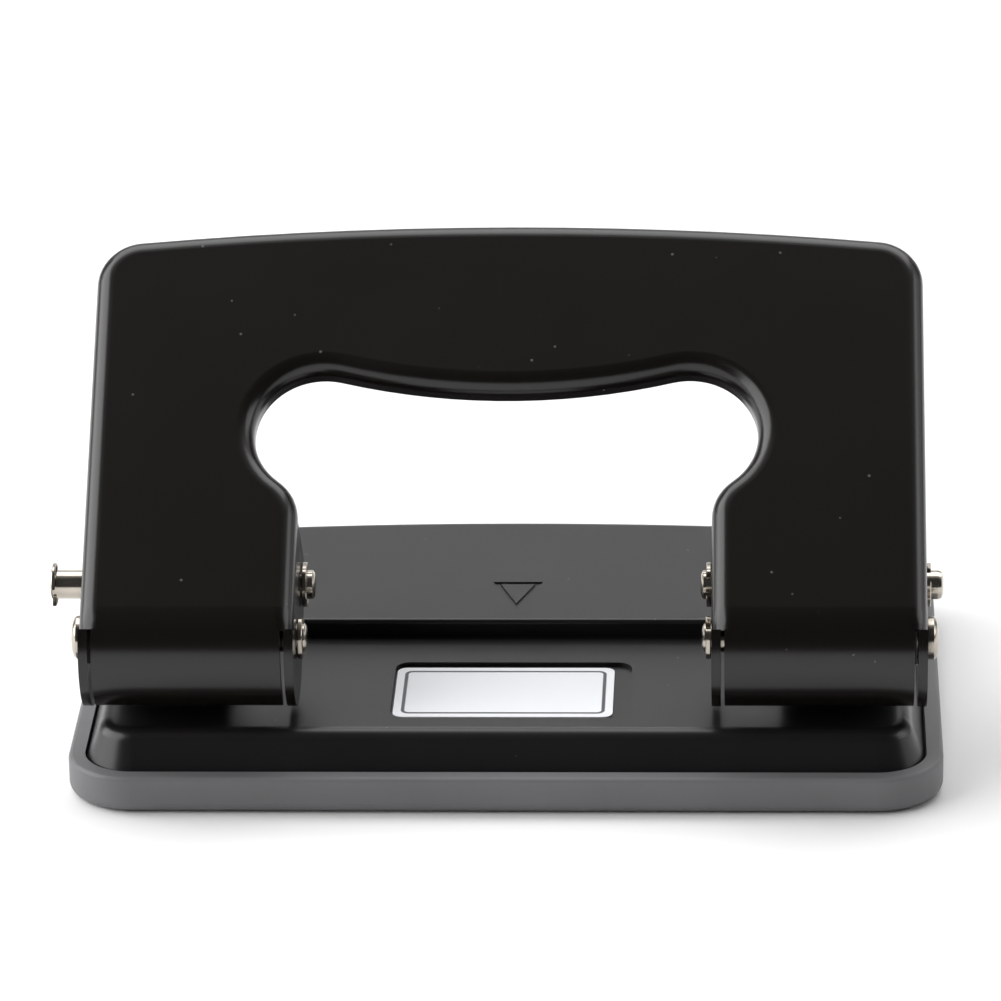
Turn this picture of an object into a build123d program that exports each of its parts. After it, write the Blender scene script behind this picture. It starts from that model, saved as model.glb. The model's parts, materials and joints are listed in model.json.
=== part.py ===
from build123d import *

import os
from math import acos, asin, atan2, cos, degrees, hypot, radians, sin, sqrt, tan

# Two-hole desk punch: a pressed steel lever on a sheet-steel base over a plastic chip tray.
# Frame: origin at the centre of the tray's underside, +X right, +Y to the back, +Z up (mm).

# ---------------------------------------------------------------- driving dimensions
HOLE_SPACING = 80.0          # the two punched holes, centre to centre
EDGE_DISTANCE = 12.0         # hole centre to paper edge
PUNCH_DIA = 6.0
STROKE = 6.0

# chip tray
TRAY_HALF_WIDTH = 52.5
TRAY_HALF_DEPTH = 34.2
TRAY_HEIGHT = 4.6
TRAY_CORNER = 8.0
TRAY_FLOOR = 1.5
TRAY_RIM = 2.0
TRAY_LEDGE = 3.9             # full wall thickness below the seat of the base
TRAY_SEAT = 3.0
TRAY_EDGE_ROUND = 1.3
BACK_ARCH = 340.0            # radius of the bowed rear edge

# base plate
SHEET = 1.2
BASE_GAP = 0.15              # base skirt to tray rim
BASE_ROUND = 1.9
SKIRT_FOOT = 4.0             # height of the upright foot of the skirt
FRONT_SLOPE = 22.0           # skirt below the front deck, degrees from upright
REAR_SLOPE = 6.0
FRONT_DECK = 9.0
REAR_DECK = 11.2
RISER_Y = -1.5
DIE_RADIUS = PUNCH_DIA / 2 + 0.05

# label and centre mark
LABEL = (26.4, 14.7, 0.4)
LABEL_CENTRE = (-0.3, -18.3)
LABEL_CORNER = 1.2
RECESS = (28.8, 16.6)
RECESS_CENTRE = (0.6, -17.8)
RECESS_DEPTH = 0.5
MARK_X = 0.4
MARK_WIDTH = 6.2
MARK_TIP_Y = 1.7
MARK_BASE_Y = 10.6
MARK_LINE = 0.7
MARK_DEPTH = 0.2

# pivot and pusher
PIVOT_Y = -22.8
PIVOT_Z = 18.0
PUSHER_ARM = 9.68
PIN_RADIUS = 1.75
RUNNING = 0.05               # radial clearance of pins in their holes
RING_RADIUS = 2.75
RING_THICK = 0.6
RING_GAP = 0.1

# lever
LEVER_SHEET = 1.1
FACE_TILT = 40.37            # lever face above the horizontal at rest, degrees
FACE_RADIUS = 8.3            # pivot axis to the outer face
LEVER_HALF_WIDTH = 50.4
LEVER_TOP = 52.8             # along the face, from the foot of the pivot's normal
TOP_ARCH = 464.0
TOP_CORNER = 5.8
BEND = 2.2                   # outer radius of the turned-back edges
FLANGE = 3.6                 # depth of the turned-back edges
LEG_INNER = 24.8             # inner side of each leg
GRIP_TOP = 29.6              # grip opening, top edge at the centre
GRIP_END = (22.1, 24.1)      # centre of each round end of the opening
GRIP_END_RADIUS = 8.25
GRIP_SHOULDER = 6.0          # round from the opening into the leg's inner side
SLIT = 0.45
SLIT_START = 19.6            # degrees round the nose where the slits begin
NOSE_SWEEP = 104.0           # degrees of nose below the face
HUB_RADIUS = 8.2             # ears reach as far round the pivot as the nose
BOSS_RADIUS = 4.3
OUTER_EAR_END = 21.0         # along the face, where each ear has narrowed to the turned-back edge
INNER_EAR_END = 12.8

# punch brackets
BRACKET_WIDTH = 14.0
BRACKET_SHEET = 1.5
BRACKET_FRONT = -26.0
BRACKET_BACK = 12.5
BRACKET_HUB = 6.0
BRACKET_TOP = 24.8
GUIDE_THICK = 1.2
GUIDE_LENGTH = 8.0
RIVET_Y = (3.0, 9.0)
RIVET_RADIUS = 1.5
RIVET_HEAD = 2.6

# torsion springs
WIRE = 1.0
COIL_RADIUS = 2.8
COIL_START = 27.9            # distance from the middle, wire centre at the ear side
COIL_END = 31.7
COIL_TURNS = 3

# ---------------------------------------------------------------- derived places
PUNCH_X = HOLE_SPACING / 2
ARM_ANGLE = asin(STROKE / 2 / PUSHER_ARM)
PUSHER_Y = PIVOT_Y + PUSHER_ARM * cos(ARM_ANGLE)
PUSHER_Z = PIVOT_Z + STROKE / 2
PUNCH_Y = RISER_Y + 0.14 - EDGE_DISTANCE
PIN_WANDER = (PUSHER_ARM - PUSHER_ARM * cos(ARM_ANGLE)) / 2

tilt = radians(FACE_TILT)
UP_FACE = Vector(0, cos(tilt), sin(tilt))
OUT_FACE = Vector(0, -sin(tilt), cos(tilt))
PIVOT = Vector(0, PIVOT_Y, PIVOT_Z)
FACE = Plane(origin=PIVOT + OUT_FACE * FACE_RADIUS, x_dir=(1, 0, 0), z_dir=OUT_FACE)
PIVOT_AXIS = Axis(PIVOT, (1, 0, 0))


def side_plane(x):
    """Plane across the object at x, drawn in along-face and out-of-face distances from the pivot."""
    return Plane(origin=(x, PIVOT_Y, PIVOT_Z), x_dir=UP_FACE, z_dir=(1, 0, 0))


def cross_plane(x):
    """Plane across the object at x, drawn in Y and Z."""
    return Plane(origin=(x, 0, 0), x_dir=(0, 1, 0), z_dir=(1, 0, 0))


def on_face(part_edges, plane):
    """Edges of the part that lie in the plane."""
    return part_edges.filter_by(lambda e: all(abs(plane.to_local_coords(v.center()).Z) < 1e-4
                                              for v in e.vertices()))


def pan_outline(inset, height):
    """Plan outline of tray and base: rounded corners, straight sides and a bowed rear edge."""
    half_width = TRAY_HALF_WIDTH - inset
    back = TRAY_HALF_DEPTH - inset
    side_back = back - half_width**2 / (2 * BACK_ARCH)
    with BuildSketch(Plane.XY.offset(height)) as outline:
        with BuildLine():
            left = Line((-half_width, -back), (-half_width, side_back))
            rear = ThreePointArc(left @ 1, (0, back), (half_width, side_back))
            right = Line(rear @ 1, (half_width, -back))
            Line(right @ 1, left @ 0)
        make_face()
        fillet(outline.vertices(), radius=TRAY_CORNER - inset)
    return outline.sketch


def save(builder, name):
    builder.part.label = name
    export_step(builder.part, f"parts/{name}.step")


os.makedirs("parts", exist_ok=True)

# ---------------------------------------------------------------- chip tray
with BuildPart() as chip_tray:
    add(pan_outline(0, 0))
    extrude(amount=TRAY_HEIGHT)
    fillet(chip_tray.faces().sort_by(Axis.Z)[0].edges(), radius=TRAY_EDGE_ROUND)
    fillet(chip_tray.faces().sort_by(Axis.Z)[-1].edges(), radius=0.5)
    add(pan_outline(TRAY_RIM, TRAY_SEAT))
    extrude(amount=TRAY_HEIGHT, mode=Mode.SUBTRACT)
    add(pan_outline(TRAY_LEDGE, TRAY_FLOOR))
    extrude(amount=TRAY_HEIGHT, mode=Mode.SUBTRACT)
save(chip_tray, "chip_tray")

# ---------------------------------------------------------------- base plate
BASE_INSET = TRAY_RIM + BASE_GAP


def base_level(inset, lowest, deck, slope):
    """Block up to one deck: upright foot, sloping skirt; inset by the sheet it is the hollow below."""
    with BuildPart() as level:
        add(pan_outline(BASE_INSET + inset, lowest))
        extrude(amount=SKIRT_FOOT - lowest)
        rise = deck - inset - SKIRT_FOOT
        add(pan_outline(BASE_INSET + inset, SKIRT_FOOT))
        add(pan_outline(BASE_INSET + inset + rise * tan(radians(slope)), deck - inset))
        loft(ruled=True)
    return level.part


def base_solid(inset, lowest):
    """Front and rear level of the base plate with their rounded top edges."""
    round_radius = BASE_ROUND - inset
    with BuildPart() as front:
        add(base_level(inset, lowest, FRONT_DECK, FRONT_SLOPE))
        fillet(front.faces().sort_by(Axis.Z)[-1].edges(), radius=round_radius)
    with BuildPart() as rear:
        add(base_level(inset, lowest, REAR_DECK, REAR_SLOPE))
        split(bisect_by=Plane(origin=(0, RISER_Y + inset, 0), z_dir=(0, 1, 0)), keep=Keep.TOP)
        top = rear.faces().sort_by(Axis.Z)[-1]
        riser_edge = top.edges().sort_by(Axis.Y)[0]
        fillet([e for e in top.edges() if e != riser_edge], radius=round_radius)
    return front.part, rear.part


front_block, rear_block = base_solid(0, TRAY_SEAT)
front_hollow, rear_hollow = base_solid(SHEET, TRAY_SEAT - 1)
with BuildPart() as base_plate:
    add(front_block)
    add(rear_block)
    riser_top = base_plate.edges().filter_by(Axis.X).filter_by(
        lambda e: abs(e.center().Y - RISER_Y) < 1e-3 and abs(e.center().Z - REAR_DECK) < 1e-3)
    fillet(riser_top, radius=0.5)
    add(front_hollow, mode=Mode.SUBTRACT)
    add(rear_hollow, mode=Mode.SUBTRACT)
    with BuildSketch(Plane.XY.offset(FRONT_DECK)):
        with Locations(RECESS_CENTRE):
            RectangleRounded(*RECESS, LABEL_CORNER + 0.6)
    extrude(amount=-RECESS_DEPTH, mode=Mode.SUBTRACT)
    with BuildSketch(Plane.XY.offset(REAR_DECK)):
        with BuildLine():
            Polyline((MARK_X, MARK_TIP_Y), (MARK_X + MARK_WIDTH / 2, MARK_BASE_Y),
                     (MARK_X - MARK_WIDTH / 2, MARK_BASE_Y), close=True)
        triangle = make_face()
        offset(amount=-MARK_LINE, kind=Kind.INTERSECTION, mode=Mode.SUBTRACT)
    extrude(amount=-MARK_DEPTH, mode=Mode.SUBTRACT)
    with Locations((-PUNCH_X, PUNCH_Y, FRONT_DECK), (PUNCH_X, PUNCH_Y, FRONT_DECK)):
        Hole(radius=DIE_RADIUS, depth=2 * SHEET)
    with Locations(*[(side * PUNCH_X, y, REAR_DECK) for side in (-1, 1) for y in RIVET_Y]):
        Hole(radius=RIVET_RADIUS, depth=2 * SHEET)
save(base_plate, "base_plate")

with BuildPart() as label_plate:
    with BuildSketch(Plane.XY.offset(FRONT_DECK - RECESS_DEPTH)):
        with Locations(LABEL_CENTRE):
            RectangleRounded(LABEL[0], LABEL[1], LABEL_CORNER)
    extrude(amount=LABEL[2])
save(label_plate, "label_plate")


# ---------------------------------------------------------------- lever
def lever_outline(inset):
    """Outline of the lever face with its grip opening, every edge moved in by the inset."""
    half_width = LEVER_HALF_WIDTH - inset
    top = LEVER_TOP - inset
    side_top = top - half_width**2 / (2 * TOP_ARCH)
    below = -12.0
    end_x, end_s = GRIP_END
    rise = GRIP_TOP - end_s
    arch = (end_x**2 + rise**2 - GRIP_END_RADIUS**2) / (2 * (GRIP_END_RADIUS - rise))
    arch_angle = degrees(atan2(rise + arch, end_x))
    shoulder_x = LEG_INNER + GRIP_SHOULDER
    shoulder_drop = sqrt((GRIP_END_RADIUS + GRIP_SHOULDER) ** 2 - (shoulder_x - end_x) ** 2)
    shoulder_angle = degrees(atan2(shoulder_drop, shoulder_x - end_x))
    with BuildSketch(FACE) as outline:
        with BuildLine():
            left = Line((-half_width, below), (-half_width, side_top))
            crown = ThreePointArc(left @ 1, (0, top), (half_width, side_top))
            right = Line(crown @ 1, (half_width, below))
            Line(right @ 1, left @ 0)
        make_face()
        fillet(outline.vertices().group_by(Axis.Y)[-1], radius=TOP_CORNER - inset)
        with BuildLine() as opening:
            shoulder = CenterArc((shoulder_x, end_s - shoulder_drop), GRIP_SHOULDER - inset,
                                 180, -shoulder_angle)
            CenterArc(GRIP_END, GRIP_END_RADIUS + inset, -shoulder_angle,
                      180 - arch_angle + shoulder_angle)
            CenterArc((0, GRIP_TOP + arch), arch - inset, -arch_angle, arch_angle - 90)
            edge = Line(shoulder @ 0, (LEG_INNER + inset, below - 1))
            Line(edge @ 1, (0, below - 1))
            mirror(about=Plane.YZ)
        make_face(mode=Mode.SUBTRACT)
    return outline.sketch


def radial_plane(degrees_past_foot):
    """Plane through the pivot axis; its Y runs out to the face's foot, or past it round the nose."""
    turn = tilt + radians(degrees_past_foot)
    return Plane(origin=PIVOT, x_dir=(1, 0, 0), z_dir=(0, -cos(turn), -sin(turn)))


def leg_section(side):
    """Section of one leg across the pivot: face, two bends and the start of both ears."""
    width = LEVER_HALF_WIDTH - LEG_INNER
    middle = side * (LEVER_HALF_WIDTH + LEG_INNER) / 2
    with BuildSketch(radial_plane(0)) as section:
        with Locations((middle, FACE_RADIUS - FLANGE / 2)):
            Rectangle(width, FLANGE)
        fillet(section.vertices().group_by(Axis.Y)[-1], radius=BEND)
        with BuildSketch(radial_plane(0), mode=Mode.SUBTRACT) as hollow:
            with Locations((middle, FACE_RADIUS - LEVER_SHEET - FLANGE / 2)):
                Rectangle(width - 2 * LEVER_SHEET, FLANGE)
            fillet(hollow.vertices().group_by(Axis.Y)[-1], radius=BEND - LEVER_SHEET)
    return section.sketch


def nose_section(side):
    """Section of the curled nose tongue between the two relief slits."""
    width = LEVER_HALF_WIDTH - LEG_INNER - 2 * (LEVER_SHEET + SLIT)
    middle = side * (LEVER_HALF_WIDTH + LEG_INNER) / 2
    with BuildSketch(radial_plane(SLIT_START)) as section:
        with Locations((middle, FACE_RADIUS - LEVER_SHEET / 2)):
            Rectangle(width, LEVER_SHEET)
    return section.sketch


PUSHER_S = PUSHER_ARM * cos(ARM_ANGLE - tilt)
PUSHER_R = PUSHER_ARM * sin(ARM_ANGLE - tilt)

with BuildPart() as lever_hollow:
    extrude(lever_outline(LEVER_SHEET), amount=FLANGE, dir=-OUT_FACE)
    fillet(on_face(lever_hollow.edges(), FACE), radius=BEND - LEVER_SHEET)
hollow_place = Location(OUT_FACE * -LEVER_SHEET)

with BuildPart() as lever:
    extrude(lever_outline(0), amount=FLANGE, dir=-OUT_FACE)
    fillet(on_face(lever.edges(), FACE), radius=BEND)
    add(lever_hollow.part.moved(hollow_place), mode=Mode.SUBTRACT)
    split(bisect_by=Plane(origin=FACE.origin, z_dir=UP_FACE), keep=Keep.TOP)
    for side in (-1, 1):
        add(leg_section(side))
        revolve(axis=PIVOT_AXIS, revolution_arc=SLIT_START)
        add(nose_section(side))
        revolve(axis=PIVOT_AXIS, revolution_arc=NOSE_SWEEP - SLIT_START)
    below_bend = FACE_RADIUS - BEND
    slit = radians(SLIT_START)
    ears = [(LEG_INNER, INNER_EAR_END), (LEVER_HALF_WIDTH - LEVER_SHEET, OUTER_EAR_END)]
    ears += [(-x - LEVER_SHEET, end) for x, end in ears]
    for x, ear_end in ears:
        with BuildSketch(side_plane(x)):
            with BuildSketch(side_plane(x)):
                Circle(HUB_RADIUS)
                with Locations((PUSHER_S, PUSHER_R)):
                    Circle(BOSS_RADIUS)
                with Locations((ear_end - 0.5, FACE_RADIUS - (BEND + FLANGE) / 2)):
                    Rectangle(1, FLANGE - BEND)
                make_hull()
            with BuildLine():
                Polyline((0, below_bend), (60, below_bend), (60, 20), (-20 * sin(slit), 20 * cos(slit)),
                         (-below_bend * sin(slit), below_bend * cos(slit)), close=True)
            make_face(mode=Mode.SUBTRACT)
            Circle(PIN_RADIUS + RUNNING, mode=Mode.SUBTRACT)
            with Locations((PUSHER_S, PUSHER_R)):
                Circle(PIN_RADIUS + RUNNING, mode=Mode.SUBTRACT)
        extrude(amount=LEVER_SHEET)
save(lever, "lever")


# ---------------------------------------------------------------- pins and rings
def pin(start, end, y, z):
    """Round pin along X with broken end edges."""
    with BuildPart() as rod:
        with BuildSketch(cross_plane(min(start, end))):
            with Locations((y, z)):
                Circle(PIN_RADIUS)
        extrude(amount=abs(end - start))
        chamfer(rod.edges().filter_by(GeomType.CIRCLE), length=0.3)
    return rod.part


def ring(x, y, z):
    """Retaining ring round a pin, from x to x + its thickness."""
    with BuildPart() as washer:
        with BuildSketch(cross_plane(x)):
            with Locations((y, z)):
                Circle(RING_RADIUS)
                Circle(PIN_RADIUS, mode=Mode.SUBTRACT)
        extrude(amount=RING_THICK)
    return washer.part


PIN_OUT = LEVER_HALF_WIDTH + 1.5
PIN_IN = LEG_INNER - 1.2
RING_OUT = LEVER_HALF_WIDTH + RING_GAP
RING_IN = LEG_INNER - RING_GAP - RING_THICK

for name, side in (("pivot_pin_left", -1), ("pivot_pin_right", 1)):
    with BuildPart() as pivot_pin:
        add(pin(side * PIN_IN, side * PIN_OUT, PIVOT_Y, PIVOT_Z))
    save(pivot_pin, name)

with BuildPart() as pivot_rings:
    for x in (RING_IN, RING_OUT, -RING_IN - RING_THICK, -RING_OUT - RING_THICK):
        add(ring(x, PIVOT_Y, PIVOT_Z))
save(pivot_rings, "pivot_rings")

with BuildPart() as pusher_pin:
    add(pin(PIN_IN - 0.2, PIN_OUT + 0.7, PUSHER_Y, PUSHER_Z))
save(pusher_pin, "pusher_pin")

with BuildPart() as pusher_rings:
    for x in (RING_IN, RING_OUT):
        add(ring(x, PUSHER_Y, PUSHER_Z))
save(pusher_rings, "pusher_rings")

LOCK_HEAD_X = -55.2
LOCK_STUB_X = -23.1
with BuildPart() as lock_pin:
    add(pin(LOCK_HEAD_X + 0.4, LOCK_STUB_X, PUSHER_Y, PUSHER_Z))
    with BuildSketch(cross_plane(LOCK_HEAD_X)):
        with Locations((PUSHER_Y, PUSHER_Z)):
            Circle(RING_RADIUS - 0.05)
    extrude(amount=0.6)
save(lock_pin, "lock_pin")

with BuildPart() as lock_ring:
    add(ring(-RING_IN - RING_THICK, PUSHER_Y, PUSHER_Z))
save(lock_ring, "lock_ring")

SPACER_START = PUNCH_X + BRACKET_WIDTH / 2 + 0.1
SPACER_LENGTH = LEVER_HALF_WIDTH - LEVER_SHEET - 0.1 - SPACER_START
with BuildPart() as pivot_spacers:
    for x in (SPACER_START, -SPACER_START - SPACER_LENGTH):
        with BuildSketch(cross_plane(x)):
            with Locations((PIVOT_Y, PIVOT_Z)):
                Circle(RING_RADIUS + 0.4)
                Circle(PIN_RADIUS + RUNNING, mode=Mode.SUBTRACT)
        extrude(amount=SPACER_LENGTH)
save(pivot_spacers, "pivot_spacers")

# ---------------------------------------------------------------- punch brackets
SLOT_HALF = PIN_RADIUS + PIN_WANDER + 0.08
HOOK_Y = PIVOT_Y + 3.5
HOOK_Z = PIVOT_Z - COIL_RADIUS


def bracket(side):
    """U-shaped steel frame: web over the paper gap, two side walls with pivot hole and pusher slot."""
    middle = side * PUNCH_X
    inner_wall = middle - BRACKET_WIDTH / 2 if side > 0 else middle + BRACKET_WIDTH / 2 - BRACKET_SHEET
    with BuildPart() as frame:
        with BuildSketch(cross_plane(middle - BRACKET_WIDTH / 2)):
            with BuildLine():
                Polyline((BRACKET_FRONT, REAR_DECK), (BRACKET_BACK, REAR_DECK),
                         (BRACKET_BACK, REAR_DECK + BRACKET_SHEET), (4.0, REAR_DECK + BRACKET_SHEET),
                         (-6.0, BRACKET_TOP), (PIVOT_Y + 3.5, BRACKET_TOP),
                         (PIVOT_Y, PIVOT_Z + BRACKET_HUB), (PIVOT_Y - 3, PIVOT_Z), close=True)
            make_face()
            with Locations((PIVOT_Y, PIVOT_Z)):
                Circle(BRACKET_HUB)
        extrude(amount=BRACKET_WIDTH)
        with BuildSketch(Plane.XY.offset(REAR_DECK + BRACKET_SHEET)):
            with Locations((middle, 0)):
                Rectangle(BRACKET_WIDTH - 2 * BRACKET_SHEET, 100)
        extrude(amount=20, mode=Mode.SUBTRACT)
        with BuildSketch(cross_plane(middle - BRACKET_WIDTH)):
            with Locations((PIVOT_Y, PIVOT_Z)):
                Circle(PIN_RADIUS + RUNNING)
            with Locations((PUNCH_Y, PIVOT_Z)):
                SlotCenterToCenter(STROKE, 2 * SLOT_HALF, rotation=90)
            with Locations((PUNCH_Y, BRACKET_TOP)):
                Rectangle(GUIDE_LENGTH, 2 * GUIDE_THICK)
        extrude(amount=2 * BRACKET_WIDTH, mode=Mode.SUBTRACT)
        with BuildSketch(cross_plane(inner_wall - 0.5)):
            with Locations((HOOK_Y, HOOK_Z)):
                Circle(WIRE / 2 + 0.15)
        extrude(amount=BRACKET_SHEET + 1, mode=Mode.SUBTRACT)
        with Locations((middle, PUNCH_Y, REAR_DECK + BRACKET_SHEET)):
            Hole(radius=DIE_RADIUS, depth=2 * BRACKET_SHEET)
        with Locations(*[(middle, y, REAR_DECK + BRACKET_SHEET) for y in RIVET_Y]):
            Hole(radius=RIVET_RADIUS, depth=2 * BRACKET_SHEET)
    return frame.part


def guide_plate(side):
    """Upper guide: plate between the walls with a tab in the notch of each wall."""
    with BuildPart() as plate:
        with BuildSketch(Plane.XY.offset(BRACKET_TOP - GUIDE_THICK)):
            with Locations((side * PUNCH_X, PUNCH_Y)):
                Rectangle(BRACKET_WIDTH, GUIDE_LENGTH)
                Rectangle(BRACKET_WIDTH - 2 * BRACKET_SHEET - 0.1, GUIDE_LENGTH + 3)
                Circle(DIE_RADIUS, mode=Mode.SUBTRACT)
        extrude(amount=GUIDE_THICK)
    return plate.part


def punch(side):
    """Punch rod with a cross slot for the pusher and a vee-ground cutting end."""
    low = REAR_DECK + 0.2
    top = BRACKET_TOP + STROKE + 0.4
    with BuildPart() as rod:
        with BuildSketch(Plane.XY.offset(low)):
            with Locations((side * PUNCH_X, PUNCH_Y)):
                Circle(PUNCH_DIA / 2)
        extrude(amount=top - low)
        chamfer(rod.faces().sort_by(Axis.Z)[-1].edges(), length=0.4)
        with BuildSketch(cross_plane(side * PUNCH_X - PUNCH_DIA)):
            with Locations((PUNCH_Y, PUSHER_Z)):
                SlotCenterToCenter(2 * PIN_WANDER, 2 * (PIN_RADIUS + RUNNING + 0.03))
            with Locations((PUNCH_Y, low)):
                Polygon((-PUNCH_DIA / 3, 0), (PUNCH_DIA / 3, 0), (0, 1.1), align=None)
        extrude(amount=2 * PUNCH_DIA, mode=Mode.SUBTRACT)
    return rod.part


def torsion_spring(side):
    """Coil round the pivot pin: one leg under the lever face, the other hooked into the bracket."""
    leg_s = 9.5
    leg_r = FACE_RADIUS - LEVER_SHEET - WIRE / 2 - 0.06
    leg_angle = atan2(leg_r, leg_s) + acos(COIL_RADIUS / hypot(leg_s, leg_r)) + tilt
    turns = COIL_TURNS + (270 - degrees(leg_angle)) / 360
    height = COIL_END - COIL_START
    coil_plane = Plane(origin=(COIL_START, PIVOT_Y, PIVOT_Z),
                       x_dir=(0, cos(leg_angle), sin(leg_angle)), z_dir=(1, 0, 0))
    coil = coil_plane * Helix(pitch=height / turns, height=height, radius=COIL_RADIUS)
    leg_length = sqrt(leg_s**2 + leg_r**2 - COIL_RADIUS**2)
    hook_bend = coil @ 1 + (coil % 1) * (HOOK_Y - PIVOT_Y)
    wall_side = (PUNCH_X - BRACKET_WIDTH / 2 + BRACKET_SHEET, hook_bend.Y, hook_bend.Z)
    with BuildPart() as spring:
        with BuildSketch(Plane(origin=coil @ 0, z_dir=coil % 0)):
            Circle(WIRE / 2)
        sweep(path=coil, is_frenet=True)
        with BuildSketch(Plane(origin=coil @ 0, z_dir=coil % 0)):
            Circle(WIRE / 2)
        extrude(amount=-leg_length)
        with BuildLine() as hook:
            FilletPolyline(coil @ 1, hook_bend, wall_side, radius=0.9)
        with BuildSketch(Plane(origin=coil @ 1, z_dir=coil % 1)):
            Circle(WIRE / 2)
        sweep(path=hook.wire())
        if side < 0:
            mirror(about=Plane.YZ, mode=Mode.REPLACE)
    return spring.part


for word, side in (("left", -1), ("right", 1)):
    with BuildPart() as punch_bracket:
        add(bracket(side))
    save(punch_bracket, f"bracket_{word}")
    with BuildPart() as upper_guide:
        add(guide_plate(side))
    save(upper_guide, f"guide_plate_{word}")
    with BuildPart() as punch_rod:
        add(punch(side))
    save(punch_rod, f"punch_{word}")
    with BuildPart() as return_spring:
        add(torsion_spring(side))
    save(return_spring, f"torsion_spring_{word}")

with BuildPart() as bracket_rivets:
    web_top = REAR_DECK + BRACKET_SHEET
    for side in (-1, 1):
        for y in RIVET_Y:
            with BuildSketch(Plane(origin=(side * PUNCH_X, y, 0), x_dir=(1, 0, 0), z_dir=(0, -1, 0))):
                with BuildLine():
                    Polyline((0, REAR_DECK - SHEET - 0.8), (RIVET_HEAD - 0.4, REAR_DECK - SHEET - 0.8),
                             (RIVET_HEAD, REAR_DECK - SHEET), (RIVET_RADIUS, REAR_DECK - SHEET),
                             (RIVET_RADIUS, web_top), (RIVET_HEAD, web_top),
                             (RIVET_HEAD - 0.5, web_top + 0.8), (0, web_top + 1.1), close=True)
                make_face()
            revolve(axis=Axis((side * PUNCH_X, y, 0), (0, 0, 1)))
save(bracket_rivets, "bracket_rivets")
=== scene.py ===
"""Two-hole desk punch: looks, small hardware and studio around the fixed frame."""

import json
import math

import bmesh
import bpy
from bpy.props import FloatProperty, FloatVectorProperty, IntProperty, PointerProperty
from mathutils import Matrix, Vector


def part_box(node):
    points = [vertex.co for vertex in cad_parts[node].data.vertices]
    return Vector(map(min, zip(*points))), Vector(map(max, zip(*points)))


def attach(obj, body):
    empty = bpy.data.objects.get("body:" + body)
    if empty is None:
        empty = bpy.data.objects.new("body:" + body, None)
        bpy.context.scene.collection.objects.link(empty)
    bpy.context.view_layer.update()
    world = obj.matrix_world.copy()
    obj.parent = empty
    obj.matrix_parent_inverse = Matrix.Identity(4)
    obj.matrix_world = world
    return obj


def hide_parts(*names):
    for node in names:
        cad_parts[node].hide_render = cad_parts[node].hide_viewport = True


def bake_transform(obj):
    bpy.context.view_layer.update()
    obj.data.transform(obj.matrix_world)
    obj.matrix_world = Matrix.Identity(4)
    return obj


bl_info = {
    "name": "Two-Hole Desk Punch",
    "version": (1, 0, 0),
    "blender": (4, 5, 0),
    "location": "View3D > Sidebar > Desk Punch",
    "description": "Finishes and small hardware of a two-hole desk punch, with its studio",
    "category": "Object",
}

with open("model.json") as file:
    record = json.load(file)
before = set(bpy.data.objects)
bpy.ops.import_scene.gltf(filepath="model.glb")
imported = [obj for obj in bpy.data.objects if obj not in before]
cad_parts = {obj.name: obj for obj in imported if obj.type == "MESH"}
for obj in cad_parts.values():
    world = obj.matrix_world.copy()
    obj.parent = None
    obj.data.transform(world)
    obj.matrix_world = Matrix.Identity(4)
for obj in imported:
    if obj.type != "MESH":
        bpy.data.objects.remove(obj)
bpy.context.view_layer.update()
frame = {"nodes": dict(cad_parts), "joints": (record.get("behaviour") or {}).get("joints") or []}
NODES = frame["nodes"]
HINGE = next(j for j in frame["joints"] if j["name"] == "handle_hinge")
PIVOT = Vector(HINGE["pos_m"])
MM = 0.001

# places that agree with the frame's lever and brackets; sideways they count from the middle
PUSHER = Vector((0, -0.01359, 0.021))
PIN_RADIUS_MM = 1.75
EAR_OUT = 50.4 * MM
EAR_IN = 24.8 * MM
CLIP_X = EAR_IN - 0.4 * MM
END_CLIP = 0.42 * MM
COIL_EAR = 27.9 * MM
COIL_WALL = 31.7 * MM
LEG_TURN = math.radians(151.4)
LEG_LENGTH = 11.25 * MM
HOOK_RUN = 3.5 * MM
HOOK_END = 34.5 * MM
HOOK_TURN = math.radians(270)
HOOK_BEND = 0.9 * MM

# outer radius and thickness of the two sizes of retaining clip, in millimetres
LARGE_CLIP = (2.7, 0.6)
SMALL_CLIP = (2.65, 0.45)

# fixed colours, and the depth of the finest surface relief
DUST = (0.09, 0.09, 0.09)
LABEL_INK = (0.06, 0.06, 0.07)
SPACER_NYLON = (0.5, 0.5, 0.47)
RELIEF = 0.02 * MM

# the table lies this far under the tray, so that their faces never coincide
TABLE_GAP = 0.1 * MM


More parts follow.
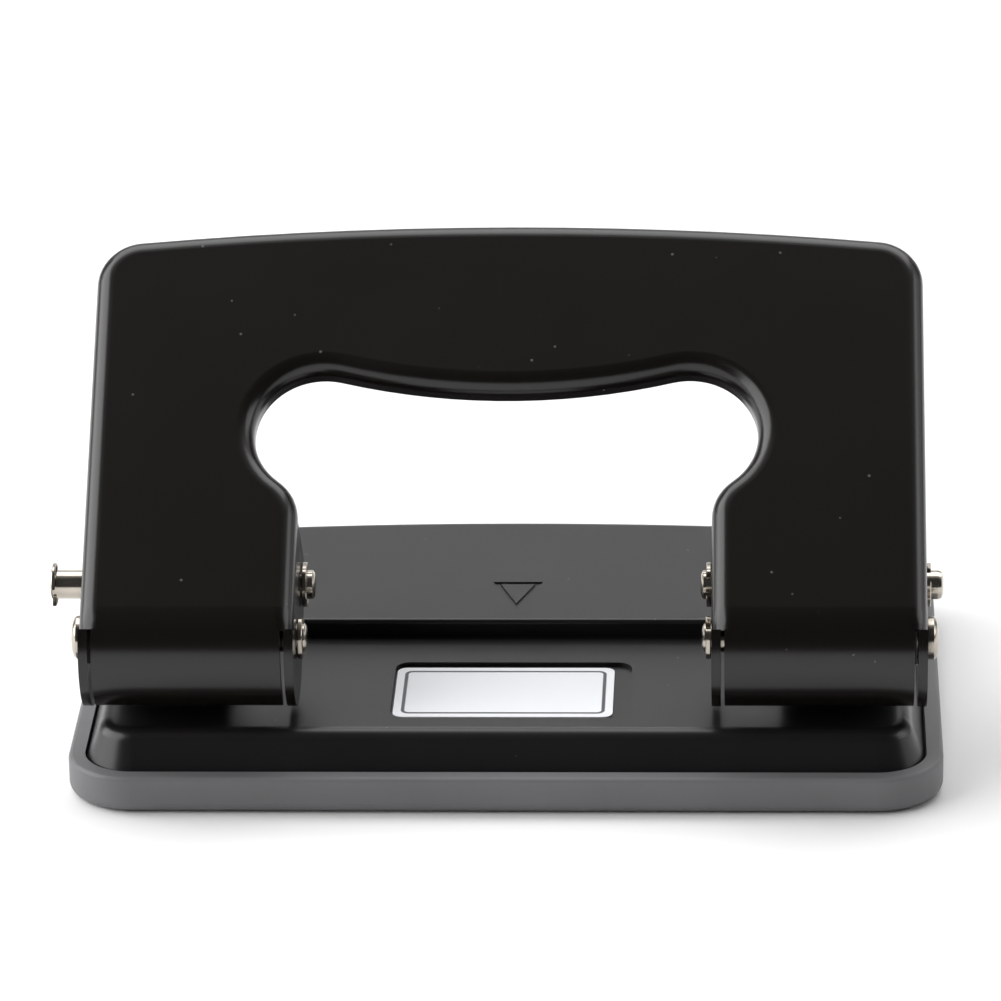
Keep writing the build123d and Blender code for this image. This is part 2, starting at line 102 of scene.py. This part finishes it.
# ------------------------------------------------------------------ settings
class PunchFinishes(bpy.types.PropertyGroup):
    """Colours and gloss of the punch's own finishes."""

    enamel: FloatVectorProperty(
        name="Lever Enamel", description="Stoved black paint of the lever",
        subtype="COLOR", size=3, min=0, max=1, default=(0.0046, 0.0036, 0.0028))
    base_enamel: FloatVectorProperty(
        name="Base Enamel", description="Stoved black paint of the base plate",
        subtype="COLOR", size=3, min=0, max=1, default=(0.0080, 0.0070, 0.0080))
    lever_roughness: FloatProperty(
        name="Lever Roughness", description="Roughness of the lever's satin enamel",
        min=0, max=1, default=0.23, subtype="FACTOR")
    base_roughness: FloatProperty(
        name="Base Roughness", description="Roughness of the base plate's gloss enamel",
        min=0, max=1, default=0.3, subtype="FACTOR")
    tray_grey: FloatVectorProperty(
        name="Tray Grey", description="Moulded plastic of the chip tray",
        subtype="COLOR", size=3, min=0, max=1, default=(0.155, 0.155, 0.16))
    label_white: FloatVectorProperty(
        name="Label", description="Film of the blank label",
        subtype="COLOR", size=3, min=0, max=1, default=(0.93, 0.94, 0.97))
    nickel: FloatVectorProperty(
        name="Nickel", description="Plating of pins and rings",
        subtype="COLOR", size=3, min=0, max=1, default=(0.5, 0.455, 0.395))
    zinc: FloatVectorProperty(
        name="Zinc", description="Plating of the punch brackets",
        subtype="COLOR", size=3, min=0, max=1, default=(0.4, 0.41, 0.43))
    steel: FloatVectorProperty(
        name="Ground Steel", description="Bare steel of punches, rivets and springs",
        subtype="COLOR", size=3, min=0, max=1, default=(0.42, 0.42, 0.43))


class PunchHardware(bpy.types.PropertyGroup):
    """Sizes of the wire and ring hardware."""

    wire: FloatProperty(
        name="Spring Wire", description="Diameter of the spring wire",
        unit="LENGTH", default=1.0 * MM, min=0.2 * MM, max=3 * MM)
    coil: FloatProperty(
        name="Coil Radius", description="Middle radius of the spring coil",
        unit="LENGTH", default=2.8 * MM, min=1 * MM, max=6 * MM)
    turns: IntProperty(
        name="Coil Turns", description="Whole turns of each spring", default=3, min=1, max=12)


class PunchStudio(bpy.types.PropertyGroup):
    """Camera and table."""

    azimuth: FloatProperty(
        name="Azimuth", description="Camera round the punch, from straight in front",
        subtype="ANGLE", default=math.radians(2.5))
    elevation: FloatProperty(
        name="Elevation", description="Camera above the table",
        subtype="ANGLE", default=math.radians(22.0))
    roll: FloatProperty(
        name="Roll", description="Tilt of the camera about its own axis",
        subtype="ANGLE", default=math.radians(-0.95))
    distance: FloatProperty(
        name="Distance", description="Camera to the point it looks at",
        unit="LENGTH", default=0.7835, min=0.1)
    aim: FloatVectorProperty(
        name="Aim", description="Point that the camera looks at",
        subtype="TRANSLATION", unit="LENGTH", size=3, default=(-0.00106, -0.0028, 0.0276))
    lens: FloatProperty(
        name="Lens", description="Focal length in millimetres on a 36 mm sensor",
        default=231.0, min=10)
    table_white: FloatProperty(
        name="Table White", description="Brightness of the pale table top",
        min=0, max=1, default=0.9, subtype="FACTOR")


# ------------------------------------------------------------------ node helpers
class Shade:
    """Lays out the nodes of one material, in the object's own coordinates."""

    def __init__(self, name, color, roughness, metallic=0.0, ior=1.5):
        self.material = bpy.data.materials.new(name)
        self.material.use_nodes = True
        self.tree = self.material.node_tree
        self.shader = self.tree.nodes["Principled BSDF"]
        self.shader.inputs["Base Color"].default_value = (*color, 1)
        self.shader.inputs["Roughness"].default_value = roughness
        self.shader.inputs["Metallic"].default_value = metallic
        self.shader.inputs["IOR"].default_value = ior
        self.material.diffuse_color = (*color, 1)
        coords = self.tree.nodes.new("ShaderNodeTexCoord")
        self.place = coords.outputs["Object"]

    def node(self, kind, values=None, **links):
        """Adds a node, sets its plain input values by name and links the rest."""
        made = self.tree.nodes.new(kind)
        for key, value in (values or {}).items():
            if key in made.inputs:
                made.inputs[key].default_value = value
            else:
                setattr(made, key, value)
        for key, output in links.items():
            self.tree.links.new(output, made.inputs[key])
        return made

    def noise(self, scale, detail=2.0, stretch=None):
        """Noise factor at so many cells per metre, multiplied along each axis by the stretch."""
        place = self.place
        if stretch is not None:
            mapped = self.node("ShaderNodeMapping", {"Scale": stretch}, Vector=place)
            place = mapped.outputs["Vector"]
        made = self.node("ShaderNodeTexNoise", {"Scale": scale, "Detail": detail}, Vector=place)
        return made.outputs["Fac"]

    def remap(self, factor, low, high, start=0.2, stop=0.8):
        """Turns start..stop, by default the usual spread of noise, into low..high."""
        made = self.node("ShaderNodeMapRange", {"From Min": start, "From Max": stop,
                                                "To Min": low, "To Max": high}, Value=factor)
        return made.outputs["Result"]

    def calculate(self, operation, first, second=None):
        """Result of one sum on an output and, where the sum needs one, a plain number."""
        made = self.node("ShaderNodeMath", {"operation": operation})
        self.tree.links.new(first, made.inputs[0])
        if second is not None:
            made.inputs[1].default_value = second
        return made.outputs[0]

    def blend_colors(self, factor, first, second):
        """Colour between the first, at factor 0, and the second, at factor 1."""
        made = self.node("ShaderNodeMix", {"data_type": "RGBA"})
        made.inputs[6].default_value = (*first, 1)
        made.inputs[7].default_value = (*second, 1)
        self.tree.links.new(factor, made.inputs[0])
        return made.outputs[2]

    def bumps(self, *layers):
        """Stacks (height, strength, distance in metres) layers into the shader's normal."""
        normal = None
        for height, strength, distance in layers:
            made = self.node("ShaderNodeBump", {"Strength": strength, "Distance": distance},
                             Height=height)
            if normal is not None:
                self.tree.links.new(normal, made.inputs["Normal"])
            normal = made.outputs["Normal"]
        self.tree.links.new(normal, self.shader.inputs["Normal"])

    def feed(self, socket, output):
        """Links an output to one of the shader's own sockets."""
        self.tree.links.new(output, self.shader.inputs[socket])


def scaled(color, amount):
    """The colour made darker or lighter by the amount, kept below white."""
    return tuple(min(1.0, channel * amount) for channel in color)


def cloudy(shade, factor, color, dark, light):
    """Lets the colour drift between a darker and a lighter one with the factor."""
    drift = shade.remap(factor, 0, 1)
    shade.feed("Base Color", shade.blend_colors(drift, scaled(color, dark), scaled(color, light)))


def enamel(name, color, roughness):
    """Stoved enamel: faint orange peel, cloudy gloss, sparse specks of dust in the paint."""
    shade = Shade(name, color, roughness)
    cloud = shade.noise(scale=90, detail=3)
    peel = shade.noise(scale=900, detail=2)
    dust = shade.node("ShaderNodeTexVoronoi", {"Scale": 260.0, "Randomness": 1.0},
                      Vector=shade.place)
    speck = shade.remap(dust.outputs["Distance"], low=1.0, high=0.0, start=0.03, stop=0.055)
    shade.feed("Roughness", shade.remap(cloud, roughness * 0.95, roughness * 1.06))
    shade.feed("Base Color", shade.blend_colors(speck, color, DUST))
    shade.bumps((peel, 0.05, RELIEF), (speck, 0.25, RELIEF))
    return shade.material


def moulded_plastic(name, color):
    """Injection-moulded tray: fine spark-eroded grain and a slightly uneven sheen."""
    shade = Shade(name, color, roughness=0.5)
    shade.shader.inputs["Specular IOR Level"].default_value = 0.35
    cloud = shade.noise(scale=60, detail=3)
    grain = shade.noise(scale=6500, detail=3)
    cloudy(shade, cloud, color, dark=0.92, light=1.08)
    shade.feed("Roughness", shade.remap(grain, low=0.44, high=0.56))
    shade.bumps((grain, 0.25, 0.03 * MM))
    return shade.material


def plating(name, color, roughness, stretch=(1, 1, 1)):
    """Plated or bare steel with working marks, finer along the axes that the stretch raises."""
    shade = Shade(name, color, roughness, metallic=1.0)
    cloud = shade.noise(scale=350, detail=3)
    marks = shade.noise(scale=2600, detail=3, stretch=stretch)
    cloudy(shade, cloud, color, dark=0.82, light=1.12)
    shade.feed("Roughness", shade.remap(marks, roughness * 0.75, roughness * 1.4))
    shade.bumps((marks, 0.12, RELIEF))
    return shade.material


def label_film(name, color, middle, half):
    """Pale satin film with a thin printed line, a rounded frame a little way in from its edge."""
    line_in = 1.15 * MM
    corner = 0.8 * MM
    solid, gone = 0.16 * MM, 0.26 * MM
    shade = Shade(name, color, roughness=0.32)
    place = shade.node("ShaderNodeMapping", {"Location": (-middle.x, -middle.y, 0)},
                       Vector=shade.place)
    parts = shade.node("ShaderNodeSeparateXYZ", Vector=place.outputs["Vector"])
    outside = []
    for axis, reach in (("X", half.x - line_in - corner), ("Y", half.y - line_in - corner)):
        size = shade.calculate("ABSOLUTE", parts.outputs[axis])
        outside.append(shade.calculate("MAXIMUM", shade.calculate("SUBTRACT", size, reach), 0.0))
    joined = shade.node("ShaderNodeCombineXYZ", X=outside[0], Y=outside[1])
    away = shade.node("ShaderNodeVectorMath", {"operation": "LENGTH"})
    shade.tree.links.new(joined.outputs[0], away.inputs[0])
    gap = shade.calculate("ABSOLUTE", shade.calculate("SUBTRACT", away.outputs["Value"], corner))
    line = shade.remap(gap, low=1.0, high=0.0, start=solid, stop=gone)
    shade.feed("Base Color", shade.blend_colors(line, color, LABEL_INK))
    shade.bumps((shade.noise(scale=1500, detail=2), 0.04, RELIEF))
    return shade.material


# ------------------------------------------------------------------ mesh helpers
def new_object(name, mesh_data, material, body, smooth_angle=40):
    """Object from a bmesh, smooth below the angle in degrees, riding on a body if one is named."""
    mesh = bpy.data.meshes.new(name)
    bmesh.ops.recalc_face_normals(mesh_data, faces=mesh_data.faces)
    mesh_data.to_mesh(mesh)
    mesh_data.free()
    for face in mesh.polygons:
        face.use_smooth = True
    mesh.set_sharp_from_angle(angle=math.radians(smooth_angle))
    mesh.materials.append(material)
    piece = bpy.data.objects.new(name, mesh)
    bpy.context.scene.collection.objects.link(piece)
    if body:
        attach(piece, body)
    return piece


def skin(data, loops):
    """Joins neighbouring loops of vertices with four-sided faces and closes the first and last."""
    sides = len(loops[0])
    for low, high in zip(loops, loops[1:]):
        for k in range(sides):
            data.faces.new((low[k], low[(k + 1) % sides], high[(k + 1) % sides], high[k]))
    data.faces.new(reversed(loops[0]))
    data.faces.new(loops[-1])
    return data


def tube(points, radius, sides=20):
    """Bmesh of a round wire through the points, its ends slightly rounded off."""
    past_end = radius * 0.12
    end_radius = radius * 0.75
    path = [Vector(p) for p in points]
    ways = []
    for index, point in enumerate(path):
        before = path[max(index - 1, 0)]
        after = path[min(index + 1, len(path) - 1)]
        ways.append((after - before).normalized())
    out = ways[0].orthogonal().normalized()
    rings = [(path[0] - ways[0] * past_end, ways[0], end_radius)]
    rings += [(point, way, radius) for point, way in zip(path, ways)]
    rings.append((path[-1] + ways[-1] * past_end, ways[-1], end_radius))
    data = bmesh.new()
    loops = []
    for point, way, size in rings:
        out = (out - way * out.dot(way)).normalized()
        across = way.cross(out)
        loops.append([data.verts.new(point + size * (math.cos(a) * out + math.sin(a) * across))
                      for a in (2 * math.pi * k / sides for k in range(sides))])
    return skin(data, loops)


def turned(profile, place, sides=48):
    """Bmesh turned about the X axis through the place, from (x, radius) stations; ends closed."""
    data = bmesh.new()
    loops = []
    for x, size in profile:
        loops.append([
            data.verts.new((x, place.y + size * math.cos(a), place.z + size * math.sin(a)))
            for a in (2 * math.pi * k / sides for k in range(sides))])
    return skin(data, loops)


def stations(start, *pairs):
    """(x, radius) stations in metres, from pairs in millimetres counted from the start."""
    return [(start + x * MM, size * MM) for x, size in pairs]


def pressed_clip(data, place, x, opens, outer, thick):
    """Adds an E-shaped retaining clip across a pin: three inner lugs, the mouth at opens."""
    half_mouth = 34         # degrees
    steps = 96
    inner, lug_reach = 2.2, 0.75
    lug_width = 1.6
    waist = 0.12            # the outer edge dips this far, six times round
    bevel = 0.1 * MM
    half = thick * MM / 2
    rims = []
    for is_inner in (False, True):
        rim = []
        for k in range(steps + 1):
            turn = half_mouth + (360 - 2 * half_mouth) * k / steps
            lug = max(math.cos(math.radians(3 * (turn - 180))), 0.0) ** 0.5
            if is_inner:
                size = inner - lug_reach * min(1.0, lug_width * lug)
            else:
                size = outer - waist * math.cos(math.radians(3 * turn)) ** 2
            angle = math.radians(turn) + opens
            rim.append((size * MM * math.cos(angle), size * MM * math.sin(angle)))
        rims.append(rim)
    shells = []
    for offset, shrink in ((-half, bevel), (-half + bevel, 0.0),
                           (half - bevel, 0.0), (half, bevel)):
        loops = []
        for rim, way in zip(rims, (-1, 1)):
            loop = []
            for y, z in rim:
                size = math.hypot(y, z)
                keep = (size + way * shrink) / size
                loop.append(data.verts.new((x + offset, place.y + y * keep, place.z + z * keep)))
            loops.append(loop)
        shells.append(loops)
    for low, high in zip(shells, shells[1:]):
        for rim in (0, 1):
            for k in range(steps):
                data.faces.new((low[rim][k], low[rim][k + 1], high[rim][k + 1], high[rim][k]))
        for k in (0, steps):
            data.faces.new((low[0][k], low[1][k], high[1][k], high[0][k]))
    for loops in (shells[0], shells[-1]):
        for k in range(steps):
            data.faces.new((loops[0][k], loops[0][k + 1], loops[1][k + 1], loops[1][k]))


def finish(node, material):
    """Gives a carried-over part its own finish."""
    for slot in NODES[node].material_slots:
        slot.material = material


# ------------------------------------------------------------------ operators
class DESKPUNCH_OT_enamel_parts(bpy.types.Operator):
    """Paint the lever and the base plate"""

    bl_idname = "deskpunch.enamel_parts"
    bl_label = "Enamel Lever and Base"

    def execute(self, context):
        looks = context.scene.punch_finishes
        finish("lever", enamel("lever_enamel", looks.enamel, looks.lever_roughness))
        finish("base_plate", enamel("base_enamel", looks.base_enamel, looks.base_roughness))
        return {"FINISHED"}


class DESKPUNCH_OT_tray(bpy.types.Operator):
    """Give the chip tray its moulded plastic"""

    bl_idname = "deskpunch.tray"
    bl_label = "Chip Tray"

    def execute(self, context):
        finish("chip_tray", moulded_plastic("tray_grey", context.scene.punch_finishes.tray_grey))
        return {"FINISHED"}


class DESKPUNCH_OT_label(bpy.types.Operator):
    """Print the blank label"""

    bl_idname = "deskpunch.label"
    bl_label = "Label"

    def execute(self, context):
        low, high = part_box("label_plate")
        film = label_film("label_film_printed", context.scene.punch_finishes.label_white,
                          (low + high) / 2, (high - low) / 2)
        finish("label_plate", film)
        return {"FINISHED"}


class DESKPUNCH_OT_steelwork(bpy.types.Operator):
    """Plate the brackets and guide plates, give punches and rivets ground steel and the pivot
    spacers nylon
    """

    bl_idname = "deskpunch.steelwork"
    bl_label = "Steelwork"

    def execute(self, context):
        looks = context.scene.punch_finishes
        zinc = plating("zinc_plate", looks.zinc, roughness=0.34, stretch=(1, 6, 1))
        ground = plating("ground_steel", looks.steel, roughness=0.24, stretch=(1, 1, 8))
        for side in ("left", "right"):
            finish(f"bracket_{side}", zinc)
            finish(f"guide_plate_{side}", zinc)
            finish(f"punch_{side}", ground)
        finish("bracket_rivets", ground)
        finish("pivot_spacers", moulded_plastic("spacer_nylon", SPACER_NYLON))
        return {"FINISHED"}


class DESKPUNCH_OT_springs(bpy.types.Operator):
    """Wind the two return springs"""

    bl_idname = "deskpunch.springs"
    bl_label = "Return Springs"

    def execute(self, context):
        sizes = context.scene.punch_hardware
        wire = plating("spring_wire", context.scene.punch_finishes.steel, roughness=0.3)
        for word, side in (("left", -1), ("right", 1)):
            data = tube(self.path(sizes, side), sizes.wire / 2)
            spring = new_object(f"return_spring_{word}", data, wire, None, 60)
            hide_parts(f"torsion_spring_{word}")
            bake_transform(spring)
        return {"FINISHED"}

    def path(self, sizes, side):
        """Leg under the lever's face, coil round the pivot, then a hook through the bracket."""
        leg_steps, coil_steps, bend_steps = 6, 40 * sizes.turns, 8
        start = LEG_TURN
        sweep = 2 * math.pi * sizes.turns + HOOK_TURN - start
        rise = (COIL_WALL - COIL_EAR) / sweep

        def on_coil(turn):
            return Vector((COIL_EAR + rise * turn, PIVOT.y + sizes.coil * math.cos(start + turn),
                           PIVOT.z + sizes.coil * math.sin(start + turn)))

        def along(turn):
            way = Vector((rise, -sizes.coil * math.sin(start + turn),
                          sizes.coil * math.cos(start + turn)))
            return way.normalized()

        points = [on_coil(0) - along(0) * LEG_LENGTH * k / leg_steps
                  for k in range(leg_steps, 0, -1)]
        points += [on_coil(sweep * k / coil_steps) for k in range(coil_steps + 1)]
        corner = on_coil(sweep) + along(sweep) * HOOK_RUN
        wall = Vector((HOOK_END, corner.y, corner.z))
        first = (on_coil(sweep) - corner).normalized()
        second = (wall - corner).normalized()
        middle = corner + (first + second) * HOOK_BEND
        points.append(corner + first * (HOOK_RUN + HOOK_BEND) / 2)
        for k in range(bend_steps + 1):
            turn = math.radians(90) * k / bend_steps
            points.append(middle - second * HOOK_BEND * math.cos(turn)
                          - first * HOOK_BEND * math.sin(turn))
        points.append(wall)
        return [(side * p.x, p.y, p.z) for p in points]


class DESKPUNCH_OT_pins(bpy.types.Operator):
    """Turn the pivot, pusher and lock pins and press on their clips"""

    bl_idname = "deskpunch.pins"
    bl_label = "Pins and Clips"

    def execute(self, context):
        nickel = plating("nickel_plate", context.scene.punch_finishes.nickel,
                         roughness=0.16, stretch=(0.15, 1, 1))
        under_head = EAR_OUT + 0.06 * MM
        for word, side in (("left", -1), ("right", 1)):
            node = f"pivot_pin_{word}"
            inner, outer = self.ends(node, side)
            shaft = self.grooved(inner, under_head)
            shaft += stations(under_head, (0, 2.2), (0.12, 2.55))
            shaft += stations(outer, (-0.62, 2.6), (-0.3, 2.35), (-0.1, 1.8), (0, 0.9))
            self.add(node, shaft, PIVOT, side, nickel, "base")
        inner, outer = self.ends("pusher_pin", 1)
        shaft = self.grooved(inner, outer - 0.7 * MM)
        shaft += stations(outer, (-0.55, PIN_RADIUS_MM), (-0.2, 1.6), (0, 1.1))
        self.add("pusher_pin", shaft, PUSHER, 1, nickel, "handle")
        inner, outer = self.ends("lock_pin", -1)
        shaft = self.grooved(inner, outer - 0.75 * MM)
        shaft += stations(outer, (-0.7, 1.4), (-0.2, 1.4), (-0.15, 1.7), (-0.02, 1.5))
        self.add("lock_pin", shaft, PUSHER, -1, nickel, "lock")
        self.clips(nickel, outer)
        return {"FINISHED"}

    def ends(self, node, side):
        """How far from the middle the node's inner and outer ends are, on its own side."""
        low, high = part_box(node)
        return (low.x, high.x) if side > 0 else (-high.x, -low.x)

    def grooved(self, inner, outer):
        """Stations of a shaft with a rounded inner end and the clip's groove beside it."""
        full, root = PIN_RADIUS_MM, 1.42
        shaft = stations(inner, (0, 1.0), (0.12, 1.45), (0.35, full))
        shaft += stations(CLIP_X - 0.32 * MM, (0, full), (0.02, root), (0.62, root), (0.64, full))
        return shaft + stations(outer, (0, full))

    def add(self, node, profile, place, side, material, body):
        """Turns the profile on its side of the middle and puts it in the node's place."""
        data = turned([(side * x, size) for x, size in profile], place)
        piece = new_object(f"{node}_turned", data, material, body, 35)
        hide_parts(node)

    def clips(self, material, lock_end):
        """Presses a clip into each groove, and one at the outer end of pusher pin and lock pin."""
        groups = (
            ("pivot_clips", "pivot_rings", "base",
             ((PIVOT, CLIP_X, 2.2, LARGE_CLIP), (PIVOT, -CLIP_X, 1.2, LARGE_CLIP))),
            ("pusher_clips", "pusher_rings", "handle",
             ((PUSHER, CLIP_X, 2.7, LARGE_CLIP), (PUSHER, EAR_OUT + END_CLIP, 2.0, LARGE_CLIP))),
            ("lock_clip", "lock_ring", "lock",
             ((PUSHER, -CLIP_X, 0.6, LARGE_CLIP),
              (PUSHER, -lock_end + END_CLIP, 3.6, SMALL_CLIP))))
        for name, node, body, places in groups:
            data = bmesh.new()
            for place, x, opens, (outer, thick) in places:
                pressed_clip(data, place, x, opens, outer, thick)
            piece = new_object(name, data, material, body, 35)
            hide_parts(node)


class DESKPUNCH_OT_stage(bpy.types.Operator):
    """Set up table, backdrop, lights and camera"""

    bl_idname = "deskpunch.stage"
    bl_label = "Studio"

    def execute(self, context):
        scene = context.scene
        studio = scene.punch_studio
        self.table(scene, studio)
        self.sky(scene)
        self.lights(scene)
        self.camera(scene, studio)
        scene.view_settings.view_transform = "Standard"
        return {"FINISHED"}

    def table(self, scene, studio):
        """Flat table top that curves up into a backdrop behind the punch."""
        half = 4.0
        run = 1.6
        bend = 0.9
        top = 3.0
        steps = 24
        profile = [(-half, -TABLE_GAP), (run, -TABLE_GAP)]
        for step in range(1, steps + 1):
            turn = math.radians(90) * step / steps
            profile.append((run + bend * math.sin(turn), bend * (1 - math.cos(turn)) - TABLE_GAP))
        profile.append((run + bend, top))
        data = bmesh.new()
        rows = [[data.verts.new((x, y, z)) for x in (-half, half)] for y, z in profile]
        for low, high in zip(rows, rows[1:]):
            data.faces.new((low[0], low[1], high[1], high[0]))
        mesh = bpy.data.meshes.new("table")
        data.to_mesh(mesh)
        data.free()
        for face in mesh.polygons:
            face.use_smooth = True
        shade = Shade("table_paper", (studio.table_white,) * 3, roughness=0.6)
        shade.shader.inputs["Specular IOR Level"].default_value = 0.2
        mesh.materials.append(shade.material)
        table = bpy.data.objects.new("table", mesh)
        scene.collection.objects.link(table)

    def sky(self, scene):
        """White behind the punch, dark on the camera's side so that the enamel stays black."""
        world = bpy.data.worlds.new("studio")
        scene.world = world
        world.use_nodes = True
        nodes = world.node_tree.nodes
        links = world.node_tree.links
        coords = nodes.new("ShaderNodeTexCoord")
        split = nodes.new("ShaderNodeSeparateXYZ")
        links.new(coords.outputs["Generated"], split.inputs[0])
        ramp = nodes.new("ShaderNodeMapRange")
        ramp.interpolation_type = "SMOOTHSTEP"
        ramp.inputs["From Min"].default_value = -0.35
        ramp.inputs["From Max"].default_value = 0.5
        ramp.inputs["To Min"].default_value = 0.05
        ramp.inputs["To Max"].default_value = 1.0
        links.new(split.outputs["Y"], ramp.inputs["Value"])
        links.new(ramp.outputs["Result"], nodes["Background"].inputs["Strength"])
        nodes["Background"].inputs["Color"].default_value = (1.0, 1.0, 1.0, 1)

    def lights(self, scene):
        """Wide soft box at the left, a dimmer one at the right, one high behind for the table."""
        centre = Vector((0, 0, 0.02))
        for name, place, size, power in (
                ("left_softbox", (-1.15, -0.15, 0.72), (1.8, 1.4), 27),
                ("right_softbox", (1.4, 0.0, 0.7), (0.8, 0.9), 3.6),
                ("back_softbox", (0.0, 1.2, 1.9), (3.0, 2.0), 42)):
            light = bpy.data.lights.new(name, "AREA")
            light.shape = "RECTANGLE"
            light.size, light.size_y = size
            light.energy = power
            lamp = bpy.data.objects.new(name, light)
            lamp.location = place
            towards = (centre - Vector(place)).to_track_quat("-Z", "Y")
            lamp.rotation_euler = towards.to_euler()
            scene.collection.objects.link(lamp)

    def camera(self, scene, studio):
        """Long lens that looks at the aim from the studio's angles."""
        a, e, r = studio.azimuth, studio.elevation, studio.roll
        back = Vector((math.sin(a) * math.cos(e), -math.cos(a) * math.cos(e), math.sin(e)))
        side = Vector((0, 0, 1)).cross(back).normalized()
        up = back.cross(side)
        right = math.cos(r) * side + math.sin(r) * up
        up = math.cos(r) * up - math.sin(r) * side
        spot = Vector(studio.aim) + back * studio.distance
        lens = bpy.data.cameras.new("camera")
        lens.sensor_width = 36
        lens.lens = studio.lens
        lens.clip_start = 0.01
        lens.clip_end = 20
        eye = bpy.data.objects.new("camera", lens)
        turned_to = Matrix((right, up, back)).transposed().to_4x4()
        eye.matrix_world = Matrix.Translation(spot) @ turned_to
        scene.collection.objects.link(eye)
        scene.camera = eye


class DESKPUNCH_PT_panel(bpy.types.Panel):
    """Sidebar panel of the desk punch"""

    bl_idname = "DESKPUNCH_PT_panel"
    bl_label = "Desk Punch"
    bl_space_type = "VIEW_3D"
    bl_region_type = "UI"
    bl_category = "Desk Punch"

    def draw(self, context):
        layout = self.layout
        for operator in OPERATORS:
            layout.operator(operator.bl_idname)
        scene = context.scene
        for group in (scene.punch_finishes, scene.punch_hardware, scene.punch_studio):
            box = layout.box()
            for name in group.__annotations__:
                box.prop(group, name)


GROUPS = (PunchFinishes, PunchHardware, PunchStudio)
OPERATORS = (
    DESKPUNCH_OT_stage,
    DESKPUNCH_OT_enamel_parts,
    DESKPUNCH_OT_tray,
    DESKPUNCH_OT_label,
    DESKPUNCH_OT_steelwork,
    DESKPUNCH_OT_springs,
    DESKPUNCH_OT_pins,
)
CLASSES = GROUPS + OPERATORS + (DESKPUNCH_PT_panel,)


def register():
    for cls in CLASSES:
        bpy.utils.register_class(cls)
    bpy.types.Scene.punch_finishes = PointerProperty(type=PunchFinishes)
    bpy.types.Scene.punch_hardware = PointerProperty(type=PunchHardware)
    bpy.types.Scene.punch_studio = PointerProperty(type=PunchStudio)


def unregister():
    del bpy.types.Scene.punch_studio
    del bpy.types.Scene.punch_hardware
    del bpy.types.Scene.punch_finishes
    for cls in reversed(CLASSES):
        bpy.utils.unregister_class(cls)


def main():
    register()
    for operator in OPERATORS:
        group, name = operator.bl_idname.split(".")
        getattr(getattr(bpy.ops, group), name)()


if __name__ == "__main__":
    main()
